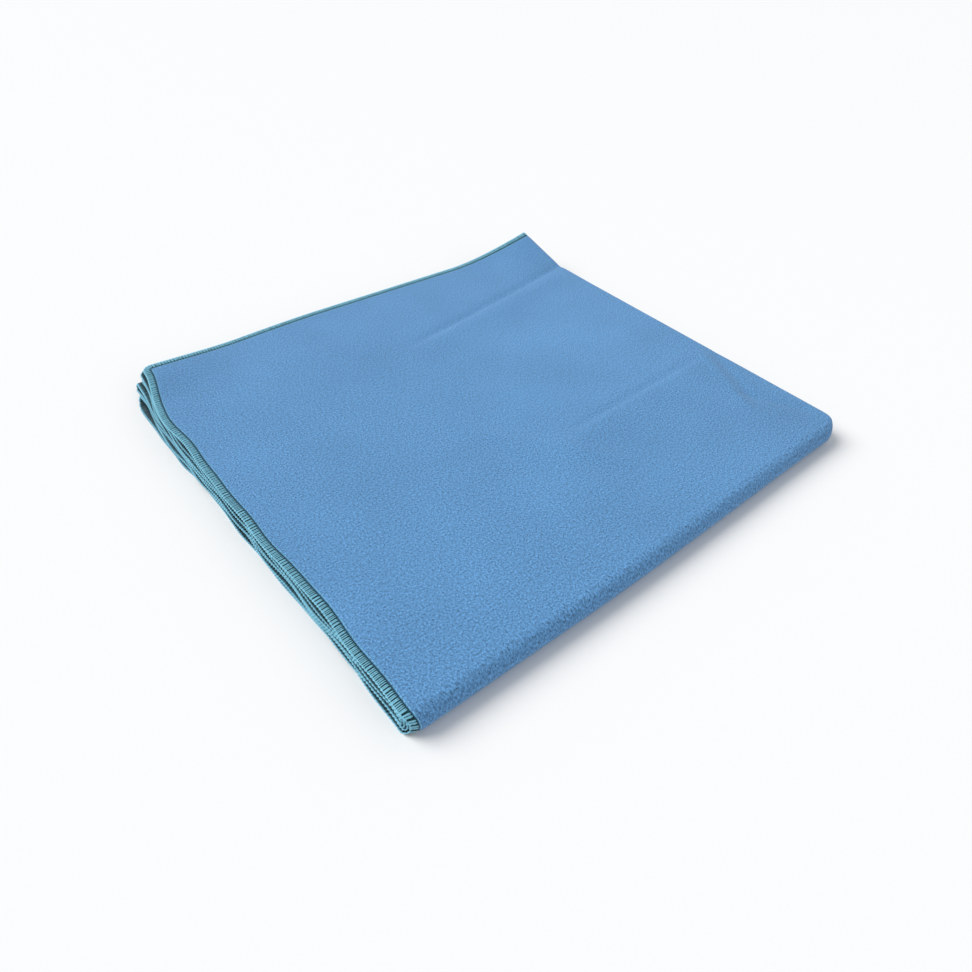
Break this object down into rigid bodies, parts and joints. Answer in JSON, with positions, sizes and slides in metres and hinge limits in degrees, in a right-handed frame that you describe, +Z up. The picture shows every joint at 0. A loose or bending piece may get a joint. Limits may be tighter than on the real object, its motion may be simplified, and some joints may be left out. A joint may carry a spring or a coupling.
{
  "type": "folded beach towel",
  "caption": "Large suede microfibre towel folded into a flat rectangular pile, with a teal overlocked edge and a lifted corner.",
  "frame": {"origin": "middle of the box of the folded towel, on its flat underside", "axes": "+Z up out of the pile; +X along the near rounded fold, from the cut edges to the folded side; +Y from the rounded fold to the free ends"},
  "size_m": [0.41, 0.3774, 0.031],
  "materials": {
    "suede_cloth": "fine brushed suede microfibre, matt, with a faint streaky weave",
    "overlock_thread": "twisted polyester overlock thread, slightly shiny"
  },
  "bodies": {
    "root": {"towel_cloth": "suede_cloth", "overlock_edging": "overlock_thread"}
  },
  "joints": []
}
